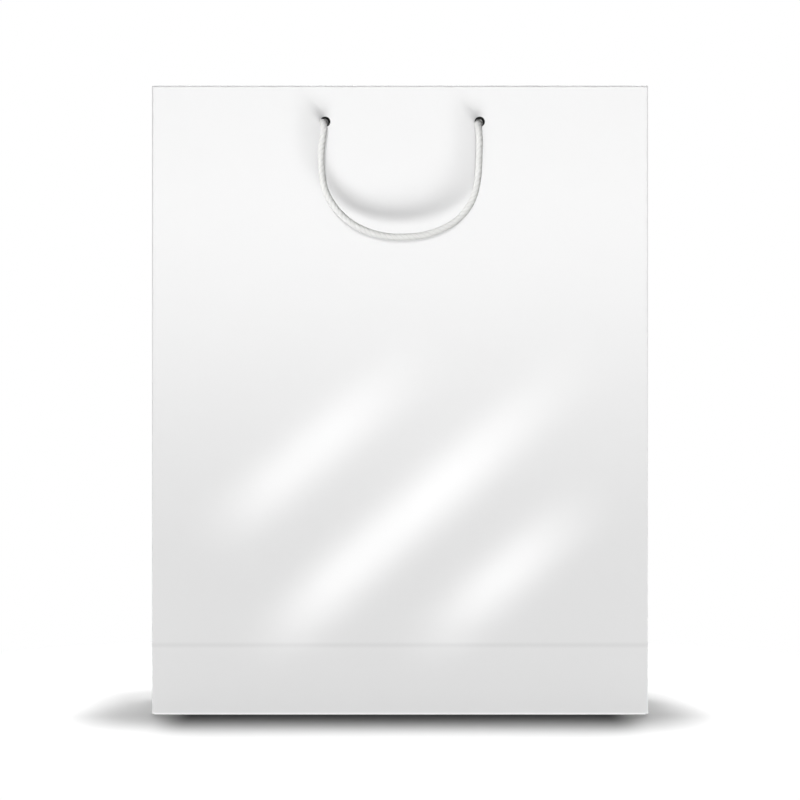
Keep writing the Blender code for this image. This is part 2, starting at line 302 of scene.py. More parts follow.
def knot_line(tail):
    """An overhand knot's centreline, facing -Y: in at the middle, round three lobes, then hanging down."""
    lobe, rise, middle = 0.00117, 0.0014, Vector((0, 0.00315, 0))
    turns = []
    for step in range(21):
        t = math.radians(270 + 330 * step / 20)
        across = lobe * (math.sin(t) + 2 * math.sin(2 * t))
        up = lobe * (math.cos(t) - 2 * math.cos(2 * t))
        turns.append(middle + Vector((across, -rise * math.sin(3 * t), up)))
    end = [
        Vector((0.0008, 0.0038, -0.0030)),
        Vector((0.0004, 0.0032, -0.0065)),
        Vector((0.0006, 0.0027, -0.0105)),
        Vector((0.0003, 0.0028, -tail)),
    ]
    return smooth_line([Vector((0, 0, 0)), Vector((-0.0004, 0.0012, 0.0008)), *turns, *end], 12)


def fibre_material(name, colour, glow):
    """Twisted polyester yarn: bright, softly lit, with fine fibres along each strand and painted shade in the
    grooves.
    Light scatters through loose yarn, and hardly at all through a knot pulled tight."""
    material, tree, shader = new_material(
        name,
        colour,
        {
            "Roughness": 0.7,
            "Specular IOR Level": 0.15,
            "Subsurface Weight": glow,
            "Subsurface Radius": (1.0, 1.0, 1.0),
            "Subsurface Scale": 0.0013,
        },
    )
    # Fibres 0.2 mm thick and 4 mm long, which is coarser than real ones, so that they show
    place = add_node(tree, "ShaderNodeAttribute", {"attribute_name": "fibre"}).outputs["Vector"]
    stretch = add_node(tree, "ShaderNodeMapping", {"Scale": (5200.0, 5200.0, 260.0), "Vector": place})
    fibres = add_node(
        tree, "ShaderNodeTexNoise", {"Scale": 1.0, "Detail": 3.0, "Roughness": 0.6, "Vector": stretch}
    )
    tone = add_node(
        tree, "ShaderNodeMapRange", {"From Min": 0.3, "From Max": 0.7, "To Min": 0.94, "Value": fibres}
    )
    # Painted shade: the grooves between the strands a little darker
    groove = add_node(tree, "ShaderNodeAttribute", {"attribute_name": "groove"}).outputs["Fac"]
    shade = add_node(tree, "ShaderNodeMapRange", {"From Max": 0.35, "To Min": 0.93, "Value": groove})
    both = add_node(tree, "ShaderNodeMath", {"operation": "MULTIPLY", 0: tone, 1: shade})
    vary(tree, shader, both, fibres, 0.3, 0.0001)
    return material


def twist_tree(sizes, material):
    """Geometry Nodes that sweep the outline of some round strands along a curve and turn it as it goes."""
    tree = bpy.data.node_groups.new("Twisted cord", "GeometryNodeTree")
    tree.interface.new_socket("Geometry", in_out="INPUT", socket_type="NodeSocketGeometry")
    for name, value in (
        ("Strand radius", sizes.strand),
        ("Strand offset", sizes.offset),
        ("Lay length", sizes.lay),
        ("Step", sizes.step),
        ("Flare", 0.0),
        ("Flare length", 0.003),
    ):
        tree.interface.new_socket(name, in_out="INPUT", socket_type="NodeSocketFloat").default_value = value
    tree.interface.new_socket("Geometry", in_out="OUTPUT", socket_type="NodeSocketGeometry")
    given = add_node(tree, "NodeGroupInput").outputs

    def side_of_turn(function, angle, length):
        """How far a length at an angle reaches along one axis."""
        part = add_node(tree, "ShaderNodeMath", {"operation": function, 0: angle})
        return add_node(tree, "ShaderNodeMath", {"operation": "MULTIPLY", 0: part, 1: length})

    line = add_node(
        tree,
        "GeometryNodeResampleCurve",
        {"mode": "LENGTH", "Curve": given["Geometry"], "Length": given["Step"]},
    )
    along = add_node(tree, "GeometryNodeSplineParameter").outputs["Length"]
    turn = add_node(tree, "ShaderNodeMath", {"operation": "DIVIDE", 0: math.tau, 1: given["Lay length"]})
    tilt = add_node(tree, "ShaderNodeMath", {"operation": "MULTIPLY", 0: along, 1: turn})
    turned = add_node(tree, "GeometryNodeSetCurveTilt", {"Curve": line, "Tilt": tilt})
    kept_line = add_node(tree, "GeometryNodeCaptureAttribute", {"domain": "POINT", "Geometry": turned})
    kept_line.capture_items.new("FLOAT", "Along")
    tree.links.new(along, kept_line.inputs["Along"])
    # The cut end opens out like a brush
    whole = add_node(tree, "GeometryNodeCurveLength", {"Curve": given["Geometry"]})
    left = add_node(tree, "ShaderNodeMath", {"operation": "SUBTRACT", 0: whole, 1: along})
    open_end = add_node(
        tree,
        "ShaderNodeMapRange",
        {**SMOOTH, "From Min": given["Flare length"], "From Max": 0.0, "Value": left},
    )
    spread = add_node(
        tree, "ShaderNodeMath", {"operation": "MULTIPLY_ADD", 0: open_end, 1: given["Flare"], 2: 1.0}
    )
    # The outline: each strand's share of the way round, as an angle from the strand's own middle
    ring = add_node(tree, "GeometryNodeCurvePrimitiveCircle", {"Resolution": 12 * sizes.strands})
    share = add_node(tree, "GeometryNodeSplineParameter").outputs["Factor"]
    kept_ring = add_node(tree, "GeometryNodeCaptureAttribute", {"domain": "POINT", "Geometry": ring})
    kept_ring.capture_items.new("FLOAT", "Around")
    tree.links.new(share, kept_ring.inputs["Around"])
    repeat = add_node(tree, "ShaderNodeMath", {"operation": "MULTIPLY", 0: share, 1: float(sizes.strands)})
    within = add_node(tree, "ShaderNodeMath", {"operation": "FRACT", 0: repeat})
    centred = add_node(tree, "ShaderNodeMath", {"operation": "SUBTRACT", 0: within, 1: 0.5})
    lobe = math.tau / sizes.strands
    angle = add_node(tree, "ShaderNodeMath", {"operation": "MULTIPLY", 0: centred, 1: lobe})
    across, ahead = (side_of_turn(function, angle, given["Strand offset"]) for function in ("SINE", "COSINE"))
    radius = given["Strand radius"]
    across_squared = add_node(tree, "ShaderNodeMath", {"operation": "MULTIPLY", 0: across, 1: across})
    radius_squared = add_node(tree, "ShaderNodeMath", {"operation": "MULTIPLY", 0: radius, 1: radius})
    rest = add_node(tree, "ShaderNodeMath", {"operation": "SUBTRACT", 0: radius_squared, 1: across_squared})
    root = add_node(tree, "ShaderNodeMath", {"operation": "SQRT", 0: rest})
    reach = add_node(tree, "ShaderNodeMath", {"operation": "ADD", 0: root, 1: ahead})
    unit = add_node(tree, "GeometryNodeInputPosition")
    place = add_node(tree, "ShaderNodeVectorMath", {"operation": "SCALE", 0: unit, "Scale": reach})
    outline = add_node(tree, "GeometryNodeSetPosition", {"Geometry": kept_ring, "Position": place})
    tube = add_node(
        tree,
        "GeometryNodeCurveToMesh",
        {"Fill Caps": True, "Curve": kept_line, "Profile Curve": outline, "Scale": spread},
    )
    # Cylinder coordinates that turn with the strands, for fibres without a seam
    around = kept_ring.outputs["Around"]
    round_angle = add_node(tree, "ShaderNodeMath", {"operation": "MULTIPLY", 0: around, 1: math.tau})
    x, y = (side_of_turn(function, round_angle, radius) for function in ("COSINE", "SINE"))
    spot = add_node(tree, "ShaderNodeCombineXYZ", {0: x, 1: y, 2: kept_line.outputs["Along"]})
    # 0 in the groove between two strands, and 1 on the middle of a strand: the mask for the yarn's painted
    # groove shade
    again = add_node(tree, "ShaderNodeMath", {"operation": "MULTIPLY", 0: around, 1: float(sizes.strands)})
    wave = add_node(tree, "ShaderNodeMath", {"operation": "PINGPONG", 0: again, 1: 0.5})
    height = add_node(tree, "ShaderNodeMath", {"operation": "MULTIPLY", 0: wave, 1: 2.0})
    made = tube
    for name, kind, value in (("fibre", "FLOAT_VECTOR", spot), ("groove", "FLOAT", height)):
        made = add_node(
            tree,
            "GeometryNodeStoreNamedAttribute",
            {"data_type": kind, "domain": "POINT", "Name": name, "Geometry": made, "Value": value},
        )
    smooth = add_node(tree, "GeometryNodeSetShadeSmooth", {"Geometry": made})
    real = add_node(tree, "GeometryNodeRealizeInstances", {"Geometry": smooth})
    coloured = add_node(tree, "GeometryNodeSetMaterial", {"Material": material, "Geometry": real})
    add_node(tree, "NodeGroupOutput", {"Geometry": coloured})
    return tree


def twisted_mesh(name, points, tree, inputs=None):
    """The tree's cord along these points, as a plain mesh."""
    curve = bpy.data.curves.new(name, "CURVE")
    curve.dimensions = "3D"
    spline = curve.splines.new("POLY")
    spline.points.add(len(points) - 1)
    for place, point in zip(spline.points, points):
        place.co = (*point, 1.0)
    guide = bpy.data.objects.new(name, curve)
    bpy.context.scene.collection.objects.link(guide)
    maker = guide.modifiers.new("Twisted cord", "NODES")
    maker.node_group = tree
    sockets = {item.name: item.identifier for item in tree.interface.items_tree if item.in_out == "INPUT"}
    for key, value in (inputs or {}).items():
        maker[sockets[key]] = value
    mesh = bpy.data.meshes.new_from_object(guide.evaluated_get(bpy.context.evaluated_depsgraph_get()))
    guide.modifiers.remove(maker)
    bpy.data.objects.remove(guide, do_unlink=True)
    bpy.data.curves.remove(curve)
    return mesh


class PAPERBAG_OT_cords(Operator):
    """Twists the two cord handles with their four knots"""

    bl_idname = "paperbag.cords"
    bl_label = "Cords and knots"

    def execute(self, context):
        sizes, bag = context.scene.cord_sizes, context.scene.bag_sizes
        colour = tuple(context.scene.bag_colours.cord)
        loose = twist_tree(sizes, fibre_material("twisted_polyester_yarn", colour, 1.0))
        tight = twist_tree(sizes, fibre_material("knotted_polyester_yarn", colour, 0.0))
        for face, end in (("front", -1), ("back", 1)):
            line = cord_line(end, sizes, bag)
            flip = Matrix.Rotation(0 if end < 0 else math.pi, 4, "Z")
            for side, start, hand in (("left", line[0], 1), ("right", line[-1], -1)):
                shape = Matrix.Translation(start) @ flip @ Matrix.Diagonal((hand, 1, 1, 1))
                points = [shape @ point for point in knot_line(sizes.tail)]
                node = f"{face}_{side}_knot"
                mesh = twisted_mesh(node, points, tight, {"Flare": 0.3, "Flare length": 0.004})
                finished_piece(f"{face}_{side}_pulled_knot", mesh, (node,))
            mesh = twisted_mesh(f"{face}_handle", line, loose)
            handle = finished_piece(f"{face}_twisted_handle", mesh, (f"{face}_cord",))
        return {"FINISHED"}


# The folded sheet


def ripple(across, up, seed):
    """Slow unevenness of a paper panel, about -1 to 1."""
    slow = noise.noise(Vector((across * 9.0, up * 7.0, seed)))
    quick = noise.noise(Vector((across * 24.0, up * 17.0, seed + 7.3)))
    return slow + 0.35 * quick


class Sheet:
    """The bag's outer face as rings of points that go round it, from the bottom up and over into the hem."""

    # Cells across a panel, cells from a gusset's edge to its middle fold, and steps round a folded edge
    COLUMNS = 72
    CELLS = 20
    CORNER = 4
    # Rings close to the pressed fold, in millimetres from it
    FOLD_RINGS = (-0.9, -0.4, 0.0, 0.4, 0.9, 1.4, 2.0, 2.8, 3.8)

    def __init__(self, sizes):
        self.sizes = sizes
        self.crease_height = sizes.depth / 2
        self.cell = sizes.depth / (2 * self.CELLS)
        self.hem_edge = sizes.height - sizes.hem
        self.wall_top = sizes.height - sizes.face_stack / 2

    def levels(self):
        """Each ring's height, how far in it stands, and how far it has turned into the hem."""
        s = self.sizes
        rows = []
        for turn in (0, 30, 60):
            inset = s.fold_round * (1 - math.sin(math.radians(turn)))
            rows.append((s.underside + s.fold_round * (1 - math.cos(math.radians(turn))), inset, 0.0))
        heights = [s.underside + s.fold_round, s.underside + s.fold_round + s.support]
        heights += [self.cell * step for step in range(1, self.CELLS)]
        heights += [self.crease_height + shift / 1000 for shift in self.FOLD_RINGS]
        heights += self.between(self.crease_height + 0.005, self.hem_edge, 70)
        heights += self.between(self.hem_edge + 0.004, self.wall_top - s.support, 10)
        heights.append(self.wall_top)
        rows += [(height, 0.0, 0.0) for height in heights]
        for step in range(1, 9):
            turn = math.pi * step / 8
            rows.append((self.wall_top + s.face_stack / 2 * math.sin(turn), 0.0, (1 - math.cos(turn)) / 2))
        rows.append((self.wall_top - s.support, 0.0, 1.0))
        rows += [(height, 0.0, 1.0) for height in self.between(self.wall_top - 0.004, self.hem_edge, 9)]
        return rows

    def panel_stations(self, flat):
        """Places across a panel whose flat part runs from -flat to flat, one close to each folded edge."""
        even = [flat * (2 * step / self.COLUMNS - 1) for step in range(self.COLUMNS + 1)]
        return [even[0], even[0] + self.sizes.support, *even[1:-1], even[-1] - self.sizes.support, even[-1]]

    @staticmethod
    def between(low, high, count):
        return [low + (high - low) * step / (count - 1) for step in range(count)]

    def gusset_stations(self, half):
        """Distances from the front corner along one gusset, closer together at its middle fold."""
        near = [self.sizes.fold_round + self.sizes.support]
        near += [self.cell * step for step in range(1, self.CELLS) if self.cell * step < half - 0.001]
        middle = [half - 0.0006, half, half + 0.0006]
        return [*near, *middle, *[2 * half - at for at in reversed(near)]]

    def ring(self, height, inset, turned):
        """The points of one ring, seen from above anticlockwise from the front panel's left end."""
        s = self.sizes
        lean = s.gusset_fold * max(0.0, (height - self.crease_height) / (s.height - self.crease_height))
        half_w = s.width / 2 - inset - turned * s.side_stack
        half_d = s.depth / 2 - inset - turned * s.face_stack
        radius = max(0.00015, s.fold_round - inset)
        flat_w, flat_d = half_w - radius, half_d - radius
        points = []
        for side in (1, -1):
            for x in self.panel_stations(flat_w):
                away = self.panel_offset(side * x, height, -side, turned)
                points.append(Vector((side * x, side * (-half_d + away), height)))
            points += self.corner(side * flat_w, -side * flat_d, radius, side, -90, height)
            for at in self.gusset_stations(s.depth / 2):
                y = -s.depth / 2 + at
                y *= half_d / (s.depth / 2)
                share = 1 - math.sqrt(y * y + 1e-7) / half_d
                x = half_w - lean * max(0.0, share) - self.gusset_offset(at, height, side, turned)
                points.append(Vector((side * x, side * y, height)))
            points += self.corner(side * flat_w, side * flat_d, radius, side, 0, height)
        return points

    def corner(self, x, y, radius, side, start, height):
        made = []
        for step in range(1, self.CORNER):
            turn = math.radians(start + 90 * step / self.CORNER) + (0 if side > 0 else math.pi)
            made.append(Vector((x + radius * math.cos(turn), y + radius * math.sin(turn), height)))
        return made

    def panel_offset(self, x, height, end, turned):
        """How far the front or back panel stands in from flat: pressed crease and slow ripples."""
        s = self.sizes
        edge = s.width / 2 - abs(x)
        offset = 0.0
        if turned == 0:
            # The pressed fold stands out a hair: the last 4 mm above it lean out, and the panel goes smoothly
            # back below it
            above = max(0.0, 1 - (height - self.crease_height) / 0.0042) ** 2
            below = fade(height, self.crease_height)
            fold = above if height > self.crease_height else below
            offset -= s.fold_lean * fold * fade(edge - 0.004, 0.012)
        # The front panel is pulled flatter than the back one
        depth = 0.00003 if end < 0 else 0.00025
        calm = fade(edge - 0.004, 0.04) * fade(self.hem_edge - 0.004 - height, 0.06)
        calm *= fade(abs(height - self.crease_height) - 0.001, 0.02)
        if height < self.crease_height:
            calm *= fade(height - 0.002, 0.012)
        if turned == 0:
            offset += depth * (0.6 + ripple(x, height, 3.1 + 5.0 * end)) * calm
        return offset

    def gusset_offset(self, at, height, side, turned):
        """How far a gusset stands in from its folded plane: pressed diagonals, crease and ripples."""
        s = self.sizes
        half = s.depth / 2
        from_corner = min(at, s.depth - at)
        offset = 0.0
        if turned:
            return offset
        if height <= self.crease_height + 1e-6 and abs(height - from_corner) < self.cell * 0.3:
            offset += s.crease
        elif abs(height - self.crease_height) < 0.0002:
            offset += s.crease * 0.7 * fade(from_corner, 0.004)
        if height > self.crease_height:
            calm = fade(height - self.crease_height, 0.05) * fade(self.hem_edge - height, 0.05)
            calm *= fade(from_corner - 0.001, 0.012) * fade(half - from_corner - 0.001, 0.012)
            offset += 0.00045 * (0.5 + ripple(at, height, 11.0 + side)) * calm
        else:
            calm = fade(height - 0.002, 0.01) * fade(from_corner - 0.001, 0.01)
            calm *= fade(abs(height - from_corner) - 0.001, 0.008) * fade(self.crease_height - height, 0.01)
            offset += 0.0003 * (0.5 + ripple(at, height, 17.0 + side)) * calm
        return offset

    def mesh(self):
        bm = bmesh.new()
        rings = [[bm.verts.new(point) for point in self.ring(*level)] for level in self.levels()]
        count = len(rings[0])
        for low, high in zip(rings, rings[1:]):
            for at in range(count):
                after = (at + 1) % count
                bm.faces.new((low[at], low[after], high[after], high[at]))
        bottom, n = rings[0], self.COLUMNS + 2
        half = count // 2
        for at in range(n):
            bm.faces.new((bottom[at + 1], bottom[at], bottom[half + n - at], bottom[half + n - at - 1]))
        bm.faces.new([bottom[at] for at in reversed(range(n, half + 1))])
        bm.faces.new([bottom[at % count] for at in reversed(range(half + n, count + 1))])
        mesh = bpy.data.meshes.new("folded sheet")
        bm.to_mesh(mesh)
        bm.free()
        return mesh


def punches(sizes):
    """Round cutters through both panels. Their faces take the paper's uncoated material."""
    bm = bmesh.new()
    radius = sizes.hole / 2
    for side in (-1, 1):
        made = bmesh.ops.create_cone(
            bm, cap_ends=True, segments=48, radius1=radius, radius2=radius, depth=sizes.depth + 2 * sizes.hole
        )["verts"]
        bmesh.ops.rotate(bm, verts=made, matrix=Matrix.Rotation(math.pi / 2, 3, "X"))
        centre = sizes.hole_shift + side * sizes.hole_spacing / 2
        bmesh.ops.translate(bm, verts=made, vec=(centre, 0, sizes.hole_height))
    for face in bm.faces:
        face.material_index = 1
    mesh = bpy.data.meshes.new("punches")
    bm.to_mesh(mesh)
    bm.free()
    return mesh


def bottom_flaps(bm, s):
    """The two glued flaps under the bottom, mitred, the back one over the front one."""
    for end, inset, margin, low, high in (
        (1, s.paper / 2, 0.0, 0.0, s.underside + 0.0002),
        (-1, s.paper, 0.001, s.paper, s.underside + 0.0001),
    ):
        depth = s.flap - inset
        middle = end * (s.depth / 2 - inset - depth / 2)
        half = s.width / 2 - inset - margin
        made = box_in(bm, (-half, middle - depth / 2, low), (half, middle + depth / 2, high))
        for vert in made:
            if end * (vert.co.y - middle) < 0:
                vert.co.x -= math.copysign(depth, vert.co.x)


def laminated_paper(colour, crease_height):
    """Coated paper under clear glossy film: a white, even body, a sharp clear reflection, no grain to see."""
    material, tree, shader = new_material(
        "laminated_gloss_paper",
        colour,
        {
            "Roughness": 0.42,
            "Specular IOR Level": 0.1,
            "IOR": 1.5,
            "Coat Weight": 1.0,
            "Coat Roughness": 0.06,
            "Coat IOR": 1.5,
        },
    )
    place = add_node(tree, "ShaderNodeTexCoord").outputs["Object"]
    # Fibre lumps of about 1.5 mm that press faintly through the film
    lumps = add_node(tree, "ShaderNodeTexNoise", {"Scale": 650.0, "Detail": 2.0, "Vector": place})
    # Clouds of 40 mm: the sheet's formation, one part in a hundred
    clouds = add_node(tree, "ShaderNodeTexNoise", {"Scale": 25.0, "Detail": 3.0, "Vector": place})
    tone = add_node(tree, "ShaderNodeMapRange", {"To Min": 0.992, "To Max": 1.004, "Value": clouds})
    # Painted shade along the pressed fold round the bag: a little greyer for 2 mm to each side
    up = add_node(tree, "ShaderNodeSeparateXYZ", {0: place}).outputs["Z"]
    off = add_node(tree, "ShaderNodeMath", {"operation": "SUBTRACT", 0: up, 1: crease_height - 0.0004})
    near = add_node(tree, "ShaderNodeMath", {"operation": "ABSOLUTE", 0: off})
    painted_crease_shade = add_node(tree, "ShaderNodeMapRange", {**SMOOTH, "From Max": 0.0021, "To Min": 0.93, "Value": near})
    both = add_node(tree, "ShaderNodeMath", {"operation": "MULTIPLY", 0: tone, 1: painted_crease_shade})
    vary(tree, shader, both, lumps, 0.05, 0.00005)
    return material


def fibre_board(name, colour, fibre_mm, contrast, roughness):
    """Uncoated paper or board: matte, with short fibres and small specks of tone."""
    material, tree, shader = new_material(name, colour, {"Roughness": roughness, "Specular IOR Level": 0.25})
    place = add_node(tree, "ShaderNodeTexCoord").outputs["Object"]
    stretched = add_node(tree, "ShaderNodeMapping", {"Scale": (1.0, 1.0, 0.45), "Vector": place})
    fibres = add_node(
        tree,
        "ShaderNodeTexNoise",
        {"Scale": 1000.0 / fibre_mm, "Detail": 4.0, "Roughness": 0.65, "Vector": stretched},
    )
    tone = add_node(
        tree,
        "ShaderNodeMapRange",
        {"From Min": 0.3, "From Max": 0.7, "To Min": 1 - contrast, "Value": fibres},
    )
    vary(tree, shader, tone, fibres, 0.35, 0.0001)
    return material


class PAPERBAG_OT_sheet(Operator):
    """Folds the bag from one sheet of laminated paper"""

    bl_idname = "paperbag.sheet"
    bl_label = "Folded sheet"

    def execute(self, context):
        sizes, colours = context.scene.bag_sizes, context.scene.bag_colours
        outside = laminated_paper(tuple(colours.paper), sizes.depth / 2)
        inside = fibre_board("uncoated_paper_back", tuple(colours.paper_back), 0.9, 0.035, 0.85)
        shell = bpy.data.objects.new("folded sheet", Sheet(sizes).mesh())
        cutter = bpy.data.objects.new("punches", punches(sizes))
        for thing in (shell, cutter):
            context.scene.collection.objects.link(thing)
            thing.data.materials.append(outside)
            thing.data.materials.append(inside)
        wall = shell.modifiers.new("paper", "SOLIDIFY")
        wall.thickness = sizes.paper
        wall.offset = -1.0
        wall.use_even_offset = True
        wall.material_offset = 1
        wall.material_offset_rim = 1
        punch = shell.modifiers.new("holes", "BOOLEAN")
        punch.object = cutter
        punch.operation = "DIFFERENCE"
        punch.solver = "EXACT"
        graph = context.evaluated_depsgraph_get()
        mesh = bpy.data.meshes.new_from_object(shell.evaluated_get(graph))
        for thing in (shell, cutter):
            bpy.data.objects.remove(thing, do_unlink=True)
        bm = bmesh.new()
        bm.from_mesh(mesh)
        bottom_flaps(bm, sizes)
        # The glued seam tab, inside the back panel's left edge
        left, back, bite = -sizes.width / 2, sizes.depth / 2 - sizes.paper, 0.0001
        low = (left + sizes.paper - bite, back - sizes.paper, sizes.underside + 2 * bite)
        box_in(bm, low, (left + sizes.seam, back + bite, sizes.height - sizes.hem - 0.001), 1)
        bm.to_mesh(mesh)
        bm.free()
        mesh.shade_smooth()
        mesh.set_sharp_from_angle(angle=math.radians(32))
        finished_piece("folded_paper_sheet", mesh, ("bag_body",))
        return {"FINISHED"}


class PAPERBAG_OT_boards(Operator):
    """Finishes the two strips in the hem and lays the bottom board"""

    bl_idname = "paperbag.boards"
    bl_label = "Boards"

    def execute(self, context):
        colours = context.scene.bag_colours
        # The hem's board strips are real, but their near-black colour is painted shade: it makes the holes
        # beside the cords look as dark as shadowed holes
        dark = fibre_board("near_black_board_hole_shade", tuple(colours.strip), 0.6, 0.3, 0.9)
        for node in ("front_top_card", "back_top_card"):
            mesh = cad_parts[node].data
            mesh.materials.clear()
            mesh.materials.append(dark)
        white = fibre_board("white_lined_board", tuple(colours.board), 1.2, 0.05, 0.8)
        bm = bmesh.new()
        box_in(bm, BOARD_LOW, BOARD_HIGH)
        upright = [edge for edge in bm.edges if abs(edge.verts[0].co.z - edge.verts[1].co.z) > 1e-5]
        corner_round, rim_round = 0.0015, 0.00018
        bmesh.ops.bevel(bm, geom=upright, offset=corner_round, segments=4, profile=0.5, affect="EDGES")
        rims = [edge for edge in bm.edges if abs(edge.verts[0].co.z - edge.verts[1].co.z) < 1e-6]
        bmesh.ops.bevel(bm, geom=rims, offset=rim_round, segments=2, profile=0.5, affect="EDGES")
        mesh = bpy.data.meshes.new("bottom board")
        bm.to_mesh(mesh)
        bm.free()
        mesh.shade_smooth()
        mesh.set_sharp_from_angle(angle=math.radians(35))
        finished_piece("bottom_board", mesh, ("base_card",), (white,))
        return {"FINISHED"}


# The studio


def stage_piece(name, mesh, material):
    mesh.materials.append(material)
    thing = bpy.data.objects.new(name, mesh)
    bpy.context.scene.collection.objects.link(thing)
    return thing


def quad_mesh(name, corners):
    """A flat card with a UV map that runs 0 to 1 across and up."""
    mesh = bpy.data.meshes.new(name)
    mesh.from_pydata([tuple(corner) for corner in corners], [], [(0, 1, 2, 3)])
    layer = mesh.uv_layers.new(name="UVMap")
    for loop, place in zip(layer.data, ((0, 0), (1, 0), (1, 1), (0, 1))):
        loop.uv = place
    return mesh


def soft_ramp(tree, value, rise, fall):
    """0 at both ends of 0 to 1, with a smooth rise over the first share and a smooth fall over the last."""
    up = add_node(tree, "ShaderNodeMapRange", {**SMOOTH, "From Max": rise, "Value": value})
    down = add_node(
        tree,
        "ShaderNodeMapRange",
        {**SMOOTH, "From Min": 1.0 - fall, "To Min": 1.0, "To Max": 0.0, "Value": value},
    )
    return add_node(tree, "ShaderNodeMath", {"operation": "MULTIPLY", 0: up, 1: down})


def light_card_material(name, strength, across, upwards):
    """A softbox's lit cloth, seen only in reflections, that fades out to all sides."""
    material = bpy.data.materials.new(name)
    tree = bare_tree(material)
    place = add_node(tree, "ShaderNodeSeparateXYZ", {0: add_node(tree, "ShaderNodeTexCoord").outputs["UV"]})
    wide = soft_ramp(tree, place.outputs["X"], *across)
    high = soft_ramp(tree, place.outputs["Y"], *upwards)
    both = add_node(tree, "ShaderNodeMath", {"operation": "MULTIPLY", 0: wide, 1: high})
    level = add_node(tree, "ShaderNodeMath", {"operation": "MULTIPLY", 0: both, 1: strength})
    glow = add_node(tree, "ShaderNodeEmission", {"Strength": level})
    clear = add_node(tree, "ShaderNodeBsdfTransparent")
    mixed = add_node(tree, "ShaderNodeAddShader", {0: glow, 1: clear})
    add_node(tree, "ShaderNodeOutputMaterial", {"Surface": mixed})
    return material


def reflected_only(card):
    card.visible_camera = False
    card.visible_diffuse = False
    card.visible_shadow = False
    card.visible_transmission = False
    card.visible_volume_scatter = False


def area_lamp(name, place, aim, wide, high, radiance):
    """A rectangular lamp of a given radiance, which isn't itself seen."""
    data = bpy.data.lights.new(name, "AREA")
    data.shape = "RECTANGLE"
    data.size, data.size_y = wide, high
    data.energy = radiance * math.pi * wide * high
    lamp = bpy.data.objects.new(name, data)
    bpy.context.scene.collection.objects.link(lamp)
    lamp.location = place
    lamp.rotation_euler = (Vector(aim) - Vector(place)).to_track_quat("-Z", "Y").to_euler()
    lamp.visible_camera = False
    lamp.visible_glossy = False
    return lamp


def link_light(lamp, pieces, state):
    """Has a lamp light only these pieces (INCLUDE), or everything but these pieces (EXCLUDE)."""
    group = bpy.data.collections.new(f"{state.lower()} {lamp.name}")
    for piece in pieces:
        group.objects.link(piece)
    for entry in group.collection_objects:
        entry.light_linking.link_state = state
    lamp.light_linking.receiver_collection = group


def seen_rays(tree):
    """1 for camera, glossy and transmission rays, which see the white background, and 0 for all others."""
    path = add_node(tree, "ShaderNodeLightPath").outputs
    seen = path["Is Camera Ray"]
    for name in ("Is Glossy Ray", "Is Transmission Ray"):
        seen = add_node(tree, "ShaderNodeMath", {"operation": "MAXIMUM", 0: seen, 1: path[name]})
    return seen


